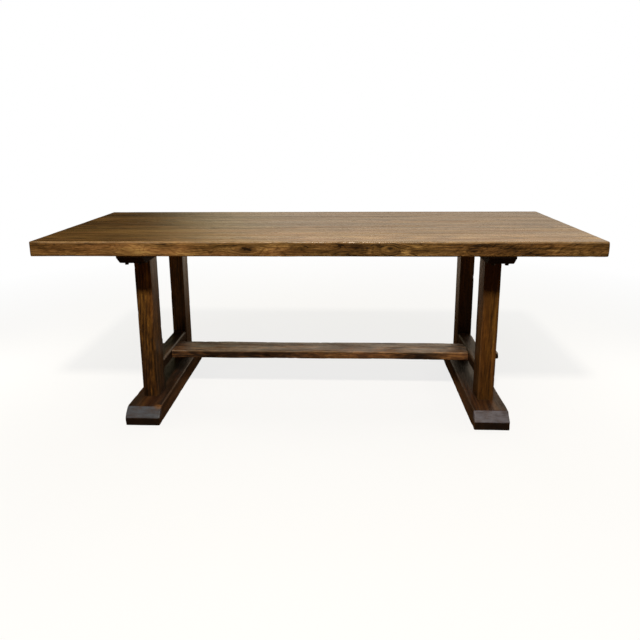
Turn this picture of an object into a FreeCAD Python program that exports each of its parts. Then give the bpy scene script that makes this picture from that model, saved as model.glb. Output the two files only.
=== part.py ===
import FreeCAD, Part
import math
import os

# Refectory table on two trestles, in millimetres.
# X runs along the top, Y across it, Z up; the origin is the middle of the footprint, on the floor.

V = FreeCAD.Vector

# Table top: four boards laid lengthwise, from the front edge to the rear one
table_height = 762.0
top_length = 2170.0
top_thickness = 57.0
front_board_width = 350.0
narrow_board_width = 89.0
wide_board_width = 277.0
rear_board_width = 196.0
top_corner_radius = 6.0
top_arris_radius = 4.5
seam_depth = 1.2
seam_half_width = 0.7

# Loose tongues that key the boards edge to edge, stopped short of the ends
tongue_thickness = 12.0
tongue_width = 40.0
tongue_stop = 70.0

# Trestles
trestle_spacing = 1409.0
post_spacing = 506.0
post_width = 66.0
post_depth = 100.0
post_arris = 3.5

# Bearers under the top
bearer_width = 101.0
bearer_thickness = 36.0
bearer_inset = 4.0
bearer_lip = 5.0
bearer_slope_run = 40.0
bearer_slope_round = 14.0
bearer_arris = 2.5

# Sledge feet
foot_length = 880.0
foot_width = 139.0
foot_height = 68.0
toe_height = 32.0
toe_run = 36.0
foot_arris = 3.0

# Cross rails between the posts of a trestle
rail_bottom = 153.0
rail_height = 44.0
rail_inset = 2.0
rail_top_chamfer = 6.0
rail_arris = 2.0

# Stretcher: a board lying flat, with tenons that pass through the cross rails
stretcher_width = 129.0
stretcher_thickness = 34.0
stretcher_rise = 3.0
stretcher_arris = 2.5
stretcher_shoulder = 4.5
stretcher_side_shoulder = 10.0
stretcher_tenon_projection = 75.0
stretcher_tenon_round = 5.0

# Tusk wedges that draw the stretcher's shoulders against the rails
wedge_thickness = 22.0
wedge_width = 24.0
wedge_taper_share = 0.10
wedge_above = 37.0
wedge_below = 34.0
wedge_slot_relief = 3.0
wedge_arris = 2.0

# Mortises and tenons
post_tenon_shoulder = 15.0
bearer_mortise_cover = 8.0
foot_mortise_cover = 23.0
rail_tenon_length = 42.0
rail_tenon_side_shoulder = 20.0
rail_tenon_shoulder = 5.0
joint_clearance = 0.15
mortise_bottom_gap = 1.0
tenon_lead = 2.0

# Coach screws that hold the top down on the bearers
screw_diameter = 8.0
screw_bite = 30.0
screw_tip = 6.0
screw_head_flats = 13.0
screw_head_height = 5.5
screw_end_distance = 48.0
screw_side_distance = 25.0
screw_clearance = 0.1
screw_hole_clearance = 0.5
screw_slot_travel = 8.0

cut_overrun = 5.0

# Cosine above which an edge counts as running along an axis
parallel_share = 0.999

# Places that follow from the sizes above
top_width = front_board_width + narrow_board_width + wide_board_width + rear_board_width
top_underside = table_height - top_thickness
bearer_bottom = top_underside - bearer_thickness
bearer_length = top_width - 2 * bearer_inset
trestle_x = trestle_spacing / 2
rail_width = post_width - 2 * rail_inset
rail_top = rail_bottom + rail_height
rail_outer_x = trestle_x + rail_width / 2
rail_inner_x = trestle_x - rail_width / 2
post_inner_y = post_spacing / 2 - post_depth / 2
stretcher_bottom = rail_bottom + stretcher_rise
stretcher_top = stretcher_bottom + stretcher_thickness
stretcher_tenon_width = stretcher_width - 2 * stretcher_side_shoulder
stretcher_tenon_thickness = stretcher_thickness - 2 * stretcher_shoulder
stretcher_tenon_bottom = stretcher_bottom + stretcher_shoulder
stretcher_end_x = rail_outer_x + stretcher_tenon_projection


def block(x_range, y_range, z_range):
    """A rectangular block between two planes on each axis."""
    size = [high - low for low, high in (x_range, y_range, z_range)]
    return Part.makeBox(size[0], size[1], size[2], V(x_range[0], y_range[0], z_range[0]))


def about(middle, size):
    """The two planes that lie half of a size each side of a middle."""
    return (middle - size / 2, middle + size / 2)


def grown(span, amount):
    """A span made longer by an amount at both ends."""
    return (span[0] - amount, span[1] + amount)


def runs_along(edge, axis):
    """True for an edge whose two ends lie along one axis."""
    if len(edge.Vertexes) < 2:
        return False
    run = edge.Vertexes[1].Point - edge.Vertexes[0].Point
    return abs(run.normalize().dot(axis)) > parallel_share


def edges_along(shape, axis):
    """The edges of a shape that run along one axis."""
    return [edge for edge in shape.Edges if runs_along(edge, axis)]


def edges_across(shape, axis):
    """The edges of a shape that run any other way than along one axis."""
    return [edge for edge in shape.Edges if not runs_along(edge, axis)]


def lowest(edge):
    """The height of the lower end of an edge."""
    return min(vertex.Point.z for vertex in edge.Vertexes)


def highest(edge):
    """The height of the upper end of an edge."""
    return max(vertex.Point.z for vertex in edge.Vertexes)


def prism(points, x_range):
    """An outline in the YZ plane carried along X from one plane to another."""
    corners = [V(x_range[0], y, z) for y, z in points]
    face = Part.Face(Part.makePolygon(corners + corners[:1]))
    return face.extrude(V(x_range[1] - x_range[0], 0, 0))


def mirrored(shape):
    """The same piece on the other side of the middle of the table."""
    return shape.mirror(V(0, 0, 0), V(1, 0, 0))


def seam_places():
    """The Y of each edge of the four boards, from the front edge to the rear one."""
    places = [-top_width / 2]
    for width in (front_board_width, narrow_board_width, wide_board_width, rear_board_width):
        places.append(places[-1] + width)
    return places


def screw_places():
    """The X and Y of the screws of the right bearer: a pair near each end, a pair amid the wide board."""
    seams = seam_places()
    end_y = bearer_length / 2 - screw_end_distance
    middle_y = (seams[2] + seams[3]) / 2
    side_x = bearer_width / 2 - screw_side_distance
    return [(trestle_x + side * side_x, y) for y in (-end_y, middle_y, end_y) for side in (-1, 1)]


def top_blank():
    """The whole top with its upright corners and its arrises rounded, before it is parted into boards."""
    blank = block(about(0, top_length), about(0, top_width), (top_underside, table_height))
    blank = blank.makeFillet(top_corner_radius, edges_along(blank, V(0, 0, 1)))
    rims = [edge for edge in blank.Edges if highest(edge) - lowest(edge) < top_arris_radius]
    return blank.makeFillet(top_arris_radius, rims)


def tongue_blank(seam_y, clearance):
    """A tongue amid the thickness of the boards, or its groove when a clearance is given."""
    middle_z = top_underside + top_thickness / 2
    return block(
        grown(about(0, top_length - 2 * tongue_stop), clearance),
        grown(about(seam_y, tongue_width), clearance),
        grown(about(middle_z, tongue_thickness), clearance),
    )


def seam_groove(seam_y):
    """The small V that eased arrises leave along a seam of the top."""
    points = [
        (seam_y - seam_half_width, table_height),
        (seam_y, table_height - seam_depth),
        (seam_y + seam_half_width, table_height),
    ]
    return prism(points, grown(about(0, top_length), cut_overrun))


def top_boards():
    """The four boards, each with its grooves and the pilot holes of its screws."""
    seams = seam_places()
    whole = top_blank()
    for x, y in screw_places():
        hole = pilot_hole(x, y)
        whole = whole.cut(hole)
        whole = whole.cut(mirrored(hole))
    for seam_y in seams[1:-1]:
        whole = whole.cut(tongue_blank(seam_y, joint_clearance))
        whole = whole.cut(seam_groove(seam_y))
    boards = []
    for front_y, rear_y in zip(seams[:-1], seams[1:]):
        slab = block(
            grown(about(0, top_length), cut_overrun),
            (front_y, rear_y),
            grown((top_underside, table_height), cut_overrun),
        )
        boards.append(whole.common(slab))
    return boards


def pilot_hole(x, y):
    """The blind hole in the underside of the top that the thread of a screw bites in."""
    radius = screw_diameter / 2 + screw_clearance
    start_z = top_underside - cut_overrun
    return Part.makeCylinder(radius, cut_overrun + screw_bite + screw_clearance, V(x, y, start_z))


def post_tenon_section(clearance):
    """The X and Y sizes of a post's tenon, or of its mortise when a clearance is given."""
    width = post_width - 2 * post_tenon_shoulder + 2 * clearance
    depth = post_depth - 2 * post_tenon_shoulder + 2 * clearance
    return width, depth


def led_in(tenon, axis):
    """A tenon with the arrises round its end faces taken off, so that it enters its mortise."""
    return tenon.makeChamfer(tenon_lead, edges_across(tenon, axis))


def post(side_y):
    """A post of the right trestle with a tenon up into the bearer, one down into the foot."""
    middle_y = side_y * post_spacing / 2
    stick = block(
        about(trestle_x, post_width),
        about(middle_y, post_depth),
        (foot_height, bearer_bottom),
    )
    stick = stick.makeFillet(post_arris, edges_along(stick, V(0, 0, 1)))
    width, depth = post_tenon_section(0)
    low_z = foot_mortise_cover
    high_z = top_underside - bearer_mortise_cover
    tenon = block(about(trestle_x, width), about(middle_y, depth), (low_z, high_z))
    stick = stick.fuse(led_in(tenon, V(0, 0, 1)))
    return stick.cut(rail_mortise(side_y)).removeSplitter()


def post_mortise(side_y, z_range):
    """The mortise for a post's tenon, between its floor and a plane past the face that it opens in."""
    width, depth = post_tenon_section(joint_clearance)
    return block(about(trestle_x, width), about(side_y * post_spacing / 2, depth), z_range)


def rail_tenon(y_range, clearance):
    """The tenon of a cross rail between two planes, or its mortise when a clearance is given."""
    return block(
        grown(about(trestle_x, rail_width - 2 * rail_tenon_side_shoulder), clearance),
        y_range,
        grown((rail_bottom + rail_tenon_shoulder, rail_top - rail_tenon_shoulder), clearance),
    )


def rail_mortise(side_y):
    """The mortise in a post for the tenon of the cross rail, from its mouth to its floor."""
    mouth_y = side_y * (post_inner_y - cut_overrun)
    floor_y = side_y * (post_inner_y + rail_tenon_length + mortise_bottom_gap)
    return rail_tenon((min(mouth_y, floor_y), max(mouth_y, floor_y)), joint_clearance)


def cross_rail():
    """The cross rail of the right trestle, with chamfered upper arrises and the mortise of the stretcher."""
    rail = block(
        about(trestle_x, rail_width),
        about(0, 2 * post_inner_y),
        (rail_bottom, rail_top),
    )
    upper = [edge for edge in edges_along(rail, V(0, 1, 0)) if lowest(edge) > rail_bottom]
    rail = rail.makeChamfer(rail_top_chamfer, upper)
    lower = [edge for edge in edges_along(rail, V(0, 1, 0)) if lowest(edge) < rail_bottom + rail_arris]
    rail = rail.makeFillet(rail_arris, lower)
    tenons = rail_tenon(grown(about(0, 2 * post_inner_y), rail_tenon_length), 0)
    rail = rail.fuse(led_in(tenons, V(0, 1, 0)))
    return rail.cut(stretcher_mortise()).removeSplitter()


def stretcher_mortise():
    """The slot through the cross rail that the stretcher's tenon passes through."""
    return block(
        grown((rail_inner_x, rail_outer_x), cut_overrun),
        grown(about(0, stretcher_tenon_width), joint_clearance),
        grown((stretcher_tenon_bottom, stretcher_tenon_bottom + stretcher_tenon_thickness), joint_clearance),
    )


def foot():
    """The sledge foot of the right trestle: sloped toes, eased arrises and a mortise for each post."""
    half = foot_length / 2
    outline = [
        (-half, 0),
        (half, 0),
        (half, toe_height),
        (half - toe_run, foot_height),
        (toe_run - half, foot_height),
        (-half, toe_height),
    ]
    beam = prism(outline, about(trestle_x, foot_width))
    beam = beam.makeChamfer(foot_arris, [edge for edge in beam.Edges if highest(edge) > 0])
    mortise_z = (foot_mortise_cover - mortise_bottom_gap, foot_height + cut_overrun)
    for side_y in (-1, 1):
        beam = beam.cut(post_mortise(side_y, mortise_z))
    return beam


def bearer():
    """The bearer of the right trestle: sloped ends, mortises below, slots for the screws."""
    half = bearer_length / 2
    outline = [
        (-half, top_underside),
        (half, top_underside),
        (half, top_underside - bearer_lip),
        (half - bearer_slope_run, bearer_bottom),
        (bearer_slope_run - half, bearer_bottom),
        (-half, top_underside - bearer_lip),
    ]
    beam = prism(outline, about(trestle_x, bearer_width))
    heels = [edge for edge in edges_along(beam, V(1, 0, 0)) if lowest(edge) < bearer_bottom + bearer_arris]
    beam = beam.makeFillet(bearer_slope_round, heels)
    rims = [edge for edge in edges_across(beam, V(1, 0, 0)) if lowest(edge) < top_underside - bearer_arris]
    beam = beam.makeFillet(bearer_arris, rims)
    mortise_z = (bearer_bottom - cut_overrun, top_underside - bearer_mortise_cover + mortise_bottom_gap)
    for side_y in (-1, 1):
        beam = beam.cut(post_mortise(side_y, mortise_z))
    for x, y in screw_places():
        beam = beam.cut(screw_slot(x, y))
    return beam


def screw_slot(x, y):
    """A slot through the bearer, longer across the top so that the boards can swell and shrink."""
    radius = screw_diameter / 2 + screw_hole_clearance
    height = bearer_thickness + 2 * cut_overrun
    low_z = bearer_bottom - cut_overrun
    slot = block(about(x, 2 * radius), about(y, screw_slot_travel), (low_z, low_z + height))
    for side in (-1, 1):
        centre = V(x, y + side * screw_slot_travel / 2, low_z)
        slot = slot.fuse(Part.makeCylinder(radius, height, centre))
    return slot.removeSplitter()


def hexagon(flats, height, x, y, low_z):
    """A six-sided prism standing on a plane, measured across its flats."""
    radius = flats / math.sqrt(3)
    turns = [math.radians(60 * step) for step in range(6)]
    corners = [V(x + radius * math.cos(turn), y + radius * math.sin(turn), low_z) for turn in turns]
    return Part.Face(Part.makePolygon(corners + corners[:1])).extrude(V(0, 0, height))


def coach_screw(x, y):
    """A hexagon-headed coach screw under the bearer, with a pointed tip up in the top."""
    head = hexagon(screw_head_flats, screw_head_height, x, y, bearer_bottom - screw_head_height)
    shank_top = top_underside + screw_bite - screw_tip
    shank = Part.makeCylinder(screw_diameter / 2, shank_top - bearer_bottom, V(x, y, bearer_bottom))
    tip = Part.makeCone(screw_diameter / 2, 0, screw_tip, V(x, y, shank_top))
    return head.fuse(shank).fuse(tip).removeSplitter()


def wedge_outer_x(z):
    """The X of the sloped outer face of a wedge at a height: the wedge is wider higher up."""
    return rail_outer_x + wedge_width + (z - stretcher_top) * wedge_taper_share


def tusk_wedge(clearance):
    """The wedge outside the right cross rail, or the slot for it when a clearance is given."""
    low_z = stretcher_tenon_bottom - wedge_below
    high_z = stretcher_tenon_bottom + stretcher_tenon_thickness + wedge_above
    inner_x = rail_outer_x - (wedge_slot_relief if clearance else 0)
    corners = [
        V(inner_x, 0, low_z),
        V(wedge_outer_x(low_z), 0, low_z),
        V(wedge_outer_x(high_z), 0, high_z),
        V(inner_x, 0, high_z),
    ]
    thickness = wedge_thickness + 2 * clearance
    face = Part.Face(Part.makePolygon(corners + corners[:1]))
    face.translate(V(0, -thickness / 2, 0))
    return face.extrude(V(0, thickness, 0))


def stretcher():
    """The stretcher: a flat board with a shouldered tenon and a wedge slot at each end."""
    board = block(
        (-rail_inner_x, rail_inner_x),
        about(0, stretcher_width),
        (stretcher_bottom, stretcher_top),
    )
    board = board.makeFillet(stretcher_arris, edges_along(board, V(1, 0, 0)))
    tenon = block(
        (-stretcher_end_x, stretcher_end_x),
        about(0, stretcher_tenon_width),
        (stretcher_tenon_bottom, stretcher_tenon_bottom + stretcher_tenon_thickness),
    )
    tenon = tenon.makeFillet(stretcher_tenon_round, edges_across(tenon, V(1, 0, 0)))
    board = board.fuse(tenon)
    slot = tusk_wedge(joint_clearance)
    board = board.cut(slot)
    return board.cut(mirrored(slot)).removeSplitter()


def finished_wedge():
    """The wedge with the arrises round its two ends eased; the long ones stay sharp where they bear."""
    wedge = tusk_wedge(0)
    rims = [edge for edge in wedge.Edges if highest(edge) - lowest(edge) < wedge_arris]
    return wedge.makeChamfer(wedge_arris, rims)


def save(name, shape):
    """Writes one piece to its own file."""
    shape.exportStep("parts/" + name + ".step")
    print(name, len(shape.Solids), round(shape.Volume / 1000, 1), shape.isValid())


os.makedirs("parts", exist_ok=True)

for name, board in zip(("front", "narrow", "wide", "rear"), top_boards()):
    save("top_board_" + name, board)
for name, seam_y in zip(("front", "middle", "rear"), seam_places()[1:-1]):
    save("top_tongue_" + name, tongue_blank(seam_y, 0))

trestle_pieces = {
    "bearer": bearer(),
    "front_post": post(-1),
    "rear_post": post(1),
    "cross_rail": cross_rail(),
    "sledge_foot": foot(),
    "tusk_wedge": finished_wedge(),
    "top_screws": Part.makeCompound([coach_screw(x, y) for x, y in screw_places()]),
}
for name, piece in trestle_pieces.items():
    save("right_" + name, piece)
    save("left_" + name, mirrored(piece))

save("stretcher", stretcher())
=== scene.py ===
import math

import bpy
import numpy as np
from mathutils import Matrix, Vector


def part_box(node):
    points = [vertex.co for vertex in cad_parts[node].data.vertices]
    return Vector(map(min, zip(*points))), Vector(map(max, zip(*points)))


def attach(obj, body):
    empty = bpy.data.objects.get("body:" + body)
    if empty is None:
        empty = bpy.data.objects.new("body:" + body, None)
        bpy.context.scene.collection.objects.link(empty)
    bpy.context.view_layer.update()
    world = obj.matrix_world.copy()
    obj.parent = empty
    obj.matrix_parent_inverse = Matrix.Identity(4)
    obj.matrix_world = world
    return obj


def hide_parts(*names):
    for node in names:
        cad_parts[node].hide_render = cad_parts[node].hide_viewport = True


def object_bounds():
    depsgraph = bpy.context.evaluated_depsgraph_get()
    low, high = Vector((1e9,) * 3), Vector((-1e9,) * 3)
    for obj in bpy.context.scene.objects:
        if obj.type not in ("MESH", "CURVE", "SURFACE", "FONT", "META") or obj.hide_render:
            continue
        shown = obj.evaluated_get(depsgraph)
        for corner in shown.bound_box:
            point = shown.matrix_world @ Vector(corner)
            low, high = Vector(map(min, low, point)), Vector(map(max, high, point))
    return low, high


# Refectory table: a plank top on two trestles, dark stained oak under a satin wax.
# Every length is in metres. X runs along the top, Y to the rear, Z up.

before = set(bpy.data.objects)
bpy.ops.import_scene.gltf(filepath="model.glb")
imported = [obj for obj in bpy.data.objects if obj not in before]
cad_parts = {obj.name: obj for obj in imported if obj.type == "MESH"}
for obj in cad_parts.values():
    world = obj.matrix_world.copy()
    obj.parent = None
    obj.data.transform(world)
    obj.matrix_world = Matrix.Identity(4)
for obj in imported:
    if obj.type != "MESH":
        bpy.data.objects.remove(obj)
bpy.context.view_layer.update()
ROOT = "root"
SIDES = ("left", "right")

# Arrises and end roundings of the timbers
TOP_ARRIS = 0.0045
SEAM_ARRIS = 0.0014
POST_ARRIS = 0.0035
BEARER_ARRIS = 0.0025
FOOT_ARRIS = 0.0040
RAIL_ARRIS = 0.0025
RAIL_CHAMFER = 0.0065
STRETCHER_ARRIS = 0.0022
TENON_ARRIS = 0.0050
WEDGE_ARRIS = 0.0020
HIDDEN_ARRIS = 0.0010
BUTTED_END = 0.0005

# Toes of the sledge feet and sloped ends of the bearers
TOE_HEIGHT = 0.032
TOE_RUN = 0.036
TOE_SOFTNESS = 0.0012
BEARER_LIP = 0.005
BEARER_RUN = 0.040
BEARER_SOFTNESS = 0.0022

# Shoulders of the stretcher's tenons, and the taper of the wedges
TENON_SIDE_SHOULDER = 0.010
TENON_SHOULDER = 0.0045
SHOULDER_RUN = 0.0001
WEDGE_TAPER = 0.10

# Mesh steps
STATION_STEP = 0.010
SIDE_STEP = 0.012
ROUND_STEPS = 4
CAP_SHARES = (0.35, 0.70, 0.93)
SUPPORT_SHARE = 0.02
CLOSE_STEPS = (-0.008, -0.005, -0.003, -0.0015, 0.0, 0.0015, 0.003, 0.005, 0.008)

# Which of X, Y, Z run along a timber, across it (a) and across it again (b)
ALONG_X = (0, 1, 2)
ALONG_Y = (1, 2, 0)
ALONG_Z = (2, 0, 1)

# Turns that bring a timber's own length onto X, for the patterns of its wood
QUARTER = math.pi / 2
GRAIN_TURNS = {ALONG_X: (0, 0, 0), ALONG_Y: (0, 0, QUARTER), ALONG_Z: (0, -QUARTER, 0)}

# Waves that planing leaves: length, stretch along the timber and share of the height
PLANED_WAVES = ((0.16, 2.5, 0.75), (0.045, 3.0, 0.25))
WAVE_COUNT = 14
WAVE_SPREAD = (0.6, 1.8)

# Knocks on the arrises: least and most depth and reach
KNOCK_DEPTH = (0.0004, 0.0012)
KNOCK_REACH = (0.005, 0.012)

# Ripple in the radius of an arris: its length, its share, and least and most of that
RIPPLE_LENGTH = 0.12
RIPPLE_SHARE = 0.25
RIPPLE_SPREAD = (0.5, 1.0)
RIPPLE_SEED = 7

# How far wear, with its painted highlight, and dirt reach from an arris, and how fast an end's mark fades
# round its rim
WEAR_AND_HIGHLIGHT_REACH = 0.004
DIRT_REACH = 0.0035
END_FADE = 1.5

# Seeds of the random draws for the shape and the wood of the first piece of each kind
SEEDS = {"board": (11, 3), "post": (31, 31), "foot": (41, 51), "bearer": (61, 63), "rail": (71, 73),
         "stretcher": (81, 83), "wedge": (91, 93)}


def linear(hex_colour):
    """An sRGB hex colour as linear red, green, blue and alpha."""
    values = [int(hex_colour[i:i + 2], 16) / 255 for i in (1, 3, 5)]
    return [v / 12.92 if v <= 0.04045 else ((v + 0.055) / 1.055) ** 2.4 for v in values] + [1.0]


# Surfaces

def waves(points, seed, wavelength, along, stretch):
    """A smooth random height, about -1 to 1: sines in random directions, drawn out along one axis, summed."""
    rng = np.random.default_rng(seed)
    directions = rng.normal(size=(WAVE_COUNT, 3))
    directions /= np.linalg.norm(directions, axis=1, keepdims=True)
    directions[:, along] /= stretch
    turns = 2 * math.pi * directions / (wavelength * rng.uniform(*WAVE_SPREAD, (WAVE_COUNT, 1)))
    phases = rng.uniform(0, 2 * math.pi, WAVE_COUNT)
    return np.sin(points @ turns.T + phases).sum(-1) / math.sqrt(WAVE_COUNT)


def planed(points, seed, along, height):
    """The unevenness that planing leaves: long shallow waves with shorter ones on them."""
    return height * sum(share * waves(points, seed + i, wavelength, along, stretch)
                        for i, (wavelength, stretch, share) in enumerate(PLANED_WAVES))


def dented(points, seed, arris_places, count):
    """Small knocks on the arrises: bell-shaped hollows at random places."""
    rng = np.random.default_rng(seed)
    depth = np.zeros(points.shape[:-1])
    for _ in range(count):
        place = points[rng.integers(points.shape[0]), rng.choice(arris_places)]
        gap = np.linalg.norm(points - place, axis=-1)
        depth -= rng.uniform(*KNOCK_DEPTH) * np.exp(-(gap / rng.uniform(*KNOCK_REACH)) ** 2)
    return depth


def outline_steps(width_a, width_b):
    """Steps round a rounded rectangle, an arc at each corner and then the side that runs on from it.

    Gives a corner, the corner after it, the share of the way between them, and the direction faced."""
    starts, followings, shares, facings = [], [], [], []
    for corner in range(4):
        arc = np.linspace(0, 1, ROUND_STEPS + 1)
        count = max(2, round((width_a if corner % 2 == 0 else width_b) / SIDE_STEP))
        side = np.concatenate([[SUPPORT_SHARE], np.arange(1, count) / count, [1 - SUPPORT_SHARE]])
        following = (corner + 1) % 4
        starts.append(np.full(len(arc) + len(side), corner))
        followings.append(np.concatenate([np.full(len(arc), corner), np.full(len(side), following)]))
        shares.append(np.concatenate([np.zeros(len(arc)), side]))
        facings.append(np.concatenate([corner + arc, np.full(len(side), corner + 1)]) * QUARTER)
    return [np.concatenate(parts) for parts in (starts, followings, shares, facings)]


def end_rings(rounding):
    """Rings from near the middle of an end face out to where its rounding, a quarter circle, meets the sides.

    Gives each ring's distance from the end, its inset, its share of the outline and how much it faces
    sideways."""
    turns = np.linspace(0, QUARTER, ROUND_STEPS + 1)
    flat = np.zeros(len(CAP_SHARES))
    distance = np.concatenate([flat, rounding * (1 - np.cos(turns))])
    inset = np.concatenate([flat + rounding, rounding * (1 - np.sin(turns))])
    share = np.concatenate([CAP_SHARES, np.ones(len(turns))])
    sideways = np.concatenate([flat, np.sin(turns)])
    return distance, inset, share, sideways


def timber(name, axes, low, high, radii, end_round, seed, end_sides=(1, 1, 1, 1), flat=0.0, bend=None,
           waviness=0.0003, dents=0, worn_and_highlit=(1, 1, 1, 1), grimy=(), close=(), narrow=None, marks=None):
    """A length of timber: a rounded rectangle carried along it, drawn in at the ends on a quarter circle, and
    closed by rings that shrink to the middle of each end face.

    Low and high are its opposite corners. Radii round its four long arrises, counted from high a, high b,
    past low a. End_sides says which sides draw in at the ends: low a, high a, low b, high b. Flat is the
    share of chamfer in an arris. Narrow gives shares of the half widths along it, and bend moves the finished
    points. Close lists distances from the ends where rings lie closer. Worn gives how far each arris is
    rubbed pale, as wear and partly as a painted highlight, grimy lists the arrises that hold dirt, and marks
    works out more weights from the points."""
    along, across, over = axes
    length = high[along] - low[along]
    distance, inset, share, sideways = end_rings(end_round)
    inner = length - 2 * end_round
    middle = np.linspace(0, inner, max(3, round(inner / STATION_STEP)) + 1)[1:-1] + end_round
    for mark in close:
        middle = np.concatenate([middle, mark + np.array(CLOSE_STEPS), length - mark + np.array(CLOSE_STEPS)])
    middle = np.unique(np.round(middle[(middle > end_round) & (middle < length - end_round)], 5))
    plain = np.zeros(len(middle))
    s = np.concatenate([distance, middle, length - distance[::-1]])
    inset = np.concatenate([inset, plain, inset[::-1]])
    share = np.concatenate([share, plain + 1, share[::-1]])
    sideways = np.concatenate([sideways, plain + 1, sideways[::-1]])
    lengthways = np.sqrt(np.clip(1 - sideways ** 2, 0, 1)) * np.where(s < length / 2, -1, 1)

    corner, following, toward, facing = outline_steps(high[across] - low[across], high[over] - low[over])
    low_a, high_a = low[across] + inset * end_sides[0], high[across] - inset * end_sides[1]
    low_b, high_b = low[over] + inset * end_sides[2], high[over] - inset * end_sides[3]
    half_a, half_b = (high_a - low_a) / 2, (high_b - low_b) / 2
    if narrow is not None:
        share_a, share_b = narrow(s)
        half_a, half_b = half_a * share_a, half_b * share_b
    ripple = waves(np.stack([s, s * 0, s * 0], -1), seed + RIPPLE_SEED, RIPPLE_LENGTH, 1, 1.0)
    uneven = np.random.default_rng(seed).uniform(*RIPPLE_SPREAD, len(radii))
    radius = np.array(radii) * (1 + RIPPLE_SHARE * ripple[:, None] * uneven)

    sign_a, sign_b = np.array([1, -1, -1, 1]), np.array([1, 1, -1, -1])
    reach = (1 - flat) + flat / (np.abs(np.cos(facing)) + np.abs(np.sin(facing)))
    ends = []
    for index in (corner, following):
        r = radius[:, index]
        ends.append((sign_a[index] * (half_a[:, None] - r) + r * np.cos(facing) * reach,
                     sign_b[index] * (half_b[:, None] - r) + r * np.sin(facing) * reach))
    (a0, b0), (a1, b1) = ends
    points = np.zeros((len(s), len(facing), 3))
    points[..., along] = (low[along] + s)[:, None]
    points[..., across] = (a0 + (a1 - a0) * toward) * share[:, None] + ((low_a + high_a) / 2)[:, None]
    points[..., over] = (b0 + (b1 - b0) * toward) * share[:, None] + ((low_b + high_b) / 2)[:, None]

    outward = np.zeros_like(points)
    outward[..., along] = lengthways[:, None]
    outward[..., across] = sideways[:, None] * np.cos(facing)
    outward[..., over] = sideways[:, None] * np.sin(facing)

    side_length = np.where(corner % 2 == 0, (half_a * 2)[:, None], (half_b * 2)[:, None])
    from_arris = np.minimum(toward, 1 - toward) * side_length
    from_rim = np.minimum(s, length - s)[:, None]
    rubbed_and_highlit = np.array(worn_and_highlit)[np.where(toward < 0.5, corner, following)]
    weights = {
        "wear_and_highlight": np.exp(-np.minimum(from_arris, from_rim) / WEAR_AND_HIGHLIGHT_REACH) * sideways[:, None] * rubbed_and_highlit,
        "end": np.repeat(np.clip(END_FADE * (1 - sideways), 0, 1)[:, None], len(facing), 1),
        "grime": np.zeros_like(from_arris),
    }
    for index in grimy:
        after = np.where(corner == index, toward * side_length, 1.0)
        before = np.where((following == index) & (toward > 0), (1 - toward) * side_length, 1.0)
        dirt = np.exp(-np.minimum(after, before) / DIRT_REACH) * sideways[:, None]
        weights["grime"] = np.maximum(weights["grime"], dirt)

    lift = planed(points, seed, along, waviness) + dented(points, seed, np.flatnonzero(toward == 0), dents)
    points = points + outward * lift[..., None]
    if bend is not None:
        points = bend(points)
    if marks is not None:
        weights.update(marks(points))
    return closed_mesh(name, points, weights)


def closed_mesh(name, points, weights):
    """A closed mesh from rings of points: each ring is joined to the next by four-sided faces, and the first
    and the last ring to a point amid the end face."""
    rings, steps, _ = points.shape
    vertices = np.concatenate([points.reshape(-1, 3), [points[0].mean(0), points[-1].mean(0)]])
    ring = np.arange(rings - 1)[:, None] * steps
    step = np.arange(steps)
    ahead = (step + 1) % steps
    quads = np.stack([ring + step, ring + ahead, ring + steps + ahead, ring + steps + step], -1)
    start = np.stack([np.full(steps, rings * steps), ahead, step], -1)
    last = (rings - 1) * steps
    finish = np.stack([last + step, last + ahead, np.full(steps, rings * steps + 1)], -1)
    mesh = bpy.data.meshes.new(name)
    mesh.from_pydata(vertices.tolist(), [], quads.reshape(-1, 4).tolist() + start.tolist() + finish.tolist())
    for key, values in weights.items():
        whole = np.concatenate([values.reshape(-1), [values[0].mean(), values[-1].mean()]])
        mesh.attributes.new(key, "FLOAT", "POINT").data.foreach_set("value", whole.astype(np.float32))
    mesh.shade_smooth()
    piece = bpy.data.objects.new(name, mesh)
    bpy.context.scene.collection.objects.link(piece)
    return piece


# Finishes

WHITE = [1.0] * 4
WAX_IOR = 1.42
# Pale colour of worn arrises; on the top's front arris it is partly a painted highlight
WORN_AND_HIGHLIGHT_COLOUR = "#ac9170"
DARK_COLOUR = "#0f0804"
RED_TINT = (1.0, 0.88, 0.93, 1.0)

# A wave node draws rings a tenth of pi apart at scale 1
RING_AT_SCALE_ONE = math.pi / 10
RING_TONES = [(place, [tone] * 3 + [1.0]) for place, tone in (
    (0.0, 0.0), (0.14, 0.35), (0.36, 1.0), (0.80, 0.65), (1.0, 0.0))]

# Patterns along the timber, across it and across it again, in cells per metre
RING_WANDER = (1.1, 6, 6)  # 0.9 m by 170 mm
PATCHES = (1.8, 14, 14)  # 560 by 70 mm
PORES = (40, 900, 900)  # 25 by 1.1 mm, drawn coarser than real pores of 0.25 mm
REDNESS = (3, 16, 16)  # 330 by 60 mm
CURLS = (24, 100, 100)  # 42 by 10 mm
EDGE_RINGS = (5, 26, 26)  # 200 by 38 mm
SMEAR_WIDTH = 30  # 33 mm
SMEAR_LENGTH = 40  # 25 mm, times how far the grain is drawn out
FIBRE = 0.0022  # metres wide, drawn coarser than real fibres, as fine as hair
GRAIN_SHIFT = 1.37  # metres along the grain from one seed to the next

# Patterns in X, Y and Z, in cells per metre
RAGGED = (35, 140, 140)  # 29 by 7 mm
# Grey on the toes: dust and partly a painted sheen
DUST_AND_SHEEN_CELLS = (26, 60, 90)  # 38 by 17 by 11 mm
HAND = 26.0  # 38 mm, as hands rub

# Parts of the tone about its middle
LATE_PART = 0.22
STREAK_PART = 1.1
FIBRE_PART = 0.5
PATCH_PART = 0.9
TONE_MIDDLE = 0.50
TONE_DROP = 0.13

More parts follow.
